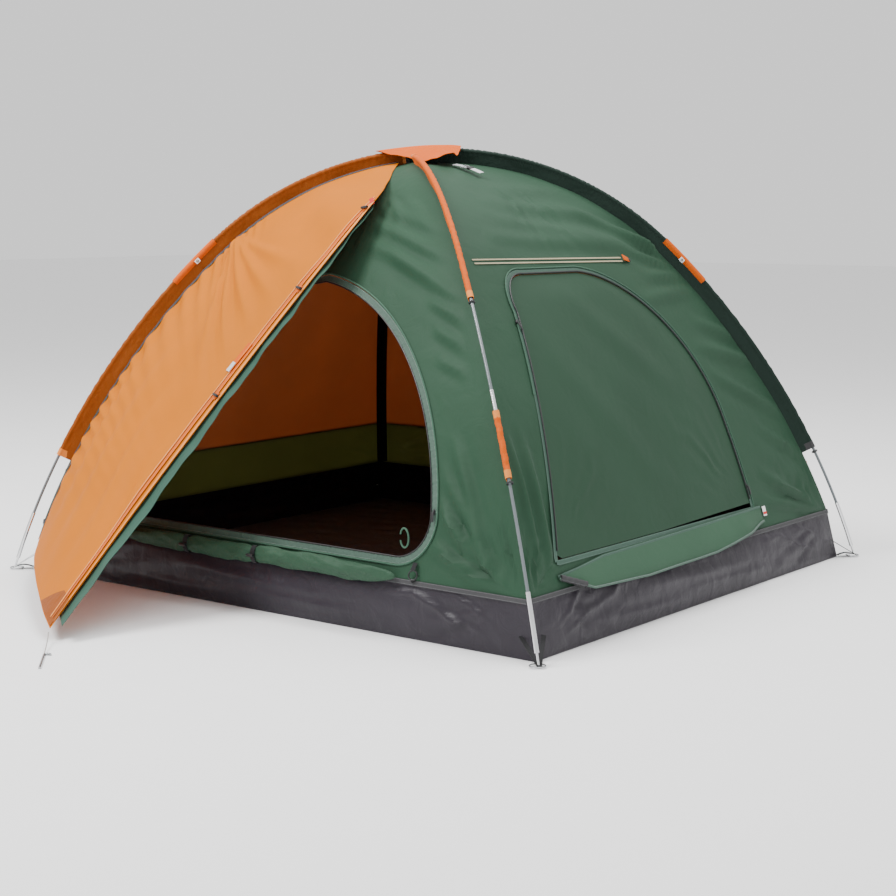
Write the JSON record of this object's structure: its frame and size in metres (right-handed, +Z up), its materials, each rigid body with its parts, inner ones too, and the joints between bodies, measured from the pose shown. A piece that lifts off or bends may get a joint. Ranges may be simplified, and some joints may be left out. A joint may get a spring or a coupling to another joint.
{
  "type": "dome tent",
  "caption": "Pitched dome tent on two crossing sectioned poles, with an arched doorway, a zipped side hatch over a storm flap, a tub floor and a porch wing pegged out in front.",
  "frame": {"origin": "middle of the groundsheet's underside, on the ground", "axes": "+Z up, doorway towards -Y, hatch towards +X"},
  "size_m": [2.0331, 2.5714, 1.3159],
  "materials": {
    "green_cloth": "coated polyester taffeta, dark green",
    "orange_cloth": "coated polyester taffeta, orange",
    "olive_cloth": "coated polyester taffeta, olive green",
    "tub_cloth": "polyethylene-coated woven floor cloth, dark grey",
    "sleeve_orange": "polyester sleeve cloth, orange-brown",
    "sleeve_green": "polyester sleeve cloth, dark green",
    "accent_orange": "heavy polyester cloth, bright orange",
    "fibreglass": "pultruded fibreglass, grey",
    "steel": "zinc-plated steel",
    "black_webbing": "polypropylene webbing, black",
    "black_plastic": "moulded acetal, black",
    "clear_plastic": "moulded polycarbonate, clear grey",
    "zip_tape": "zip tape with a coil, grey-green",
    "white_tab": "woven tab, plain white",
    "cord": "braided guy cord, light grey"
  },
  "bodies": {
    "tent": {"groundsheet": "tub_cloth", "tub_wall_front": "tub_cloth", "tub_wall_right": "tub_cloth", "tub_wall_back": "tub_cloth", "tub_wall_left": "tub_cloth", "front_wall": "green_cloth", "right_wall": "green_cloth", "back_wall": "orange_cloth", "back_band": "olive_cloth", "left_wall": "orange_cloth", "left_band": "olive_cloth", "crown_patch": "orange_cloth", "lantern_loop": "black_webbing", "main_sleeve_left": "sleeve_orange", "main_sleeve_right": "sleeve_green", "cross_sleeve_front_upper": "accent_orange", "cross_sleeve_front_lower": "accent_orange", "cross_sleeve_back_upper": "accent_orange", "cross_sleeve_back_lower": "accent_orange", "pole_ferrules": "steel", "pole_end_sleeves": "steel", "shock_cords": "black_webbing", "hub_cap": "accent_orange", "hub_strap": "black_webbing", "hub_buckle": "clear_plastic", "front_zip_tape": "zip_tape", "front_door_roll": "green_cloth", "front_door_ties": "black_webbing", "front_door_toggles": "black_plastic", "door_hook": "black_plastic", "hatch_zip_tape": "zip_tape", "side_tab": "white_tab", "wing_root": "orange_cloth", "wing_root_lining": "green_cloth", "wing_toggles": "black_plastic", "corner_rings": "steel", "corner_webbing": "black_webbing", "sleeve_guy_tabs": "accent_orange", "main_pole_section_1": "fibreglass", "main_pole_section_2": "fibreglass", "main_pole_section_3": "fibreglass", "main_pole_section_4": "fibreglass", "main_pole_section_5": "fibreglass", "main_pole_section_6": "fibreglass", "cross_pole_section_1": "fibreglass", "cross_pole_section_2": "fibreglass", "cross_pole_section_3": "fibreglass", "cross_pole_section_4": "fibreglass", "cross_pole_section_5": "fibreglass", "cross_pole_section_6": "fibreglass"},
    "hatch": {"hatch_panel": "green_cloth"},
    "flap": {"storm_flap": "green_cloth"},
    "hatch_slider_body": {"hatch_slider": "black_plastic"},
    "hatch_pull_body": {"hatch_pull": "black_plastic"},
    "front_slider_body": {"front_slider": "black_plastic"},
    "front_pull_body": {"front_pull": "black_plastic"},
    "wing": {"wing_flap": "orange_cloth", "wing_flap_lining": "green_cloth", "tip_cord": "cord", "tip_peg": "steel"}
  },
  "joints": [
    {"name": "hatch_swing", "type": "hinge", "parent": "tent", "child": "hatch", "pos_m": [0.90755, 0, 0.225], "axis": [0, 1, 0], "range_deg": [0, 80]},
    {"name": "flap_lift", "type": "hinge", "parent": "tent", "child": "flap", "pos_m": [0.91829, 0, 0.205], "axis": [0, -1, 0], "range_deg": [0, 40]},
    {"name": "hatch_slider_run", "type": "hinge", "parent": "tent", "child": "hatch_slider_body", "pos_m": [-1.83144, 0.3635, -0.71606], "axis": [0, -1, 0], "range_deg": [0, 4]},
    {"name": "hatch_pull_swing", "type": "hinge", "parent": "hatch_slider_body", "child": "hatch_pull_body", "pos_m": [0.89299, 0.3635, 0.28801], "axis": [0, -1, 0], "range_deg": [0, 150]},
    {"name": "front_slider_run", "type": "hinge", "parent": "tent", "child": "front_slider_body", "pos_m": [-0.12857, -0.64805, 0.16982], "axis": [-0.2575, -0.9393, 0.2267], "range_deg": [0, 21]},
    {"name": "front_pull_swing", "type": "hinge", "parent": "front_slider_body", "child": "front_pull_body", "pos_m": [0.60305, -0.81672, 0.33728], "axis": [-0.9881, -0.0421, -0.1477], "range_deg": [0, 150]},
    {"name": "wing_swing", "type": "hinge", "parent": "tent", "child": "wing", "pos_m": [-0.75096, -0.70712, 0.56612], "axis": [-0.4048, -0.3643, -0.8387], "range_deg": [0, 50]}
  ]
}
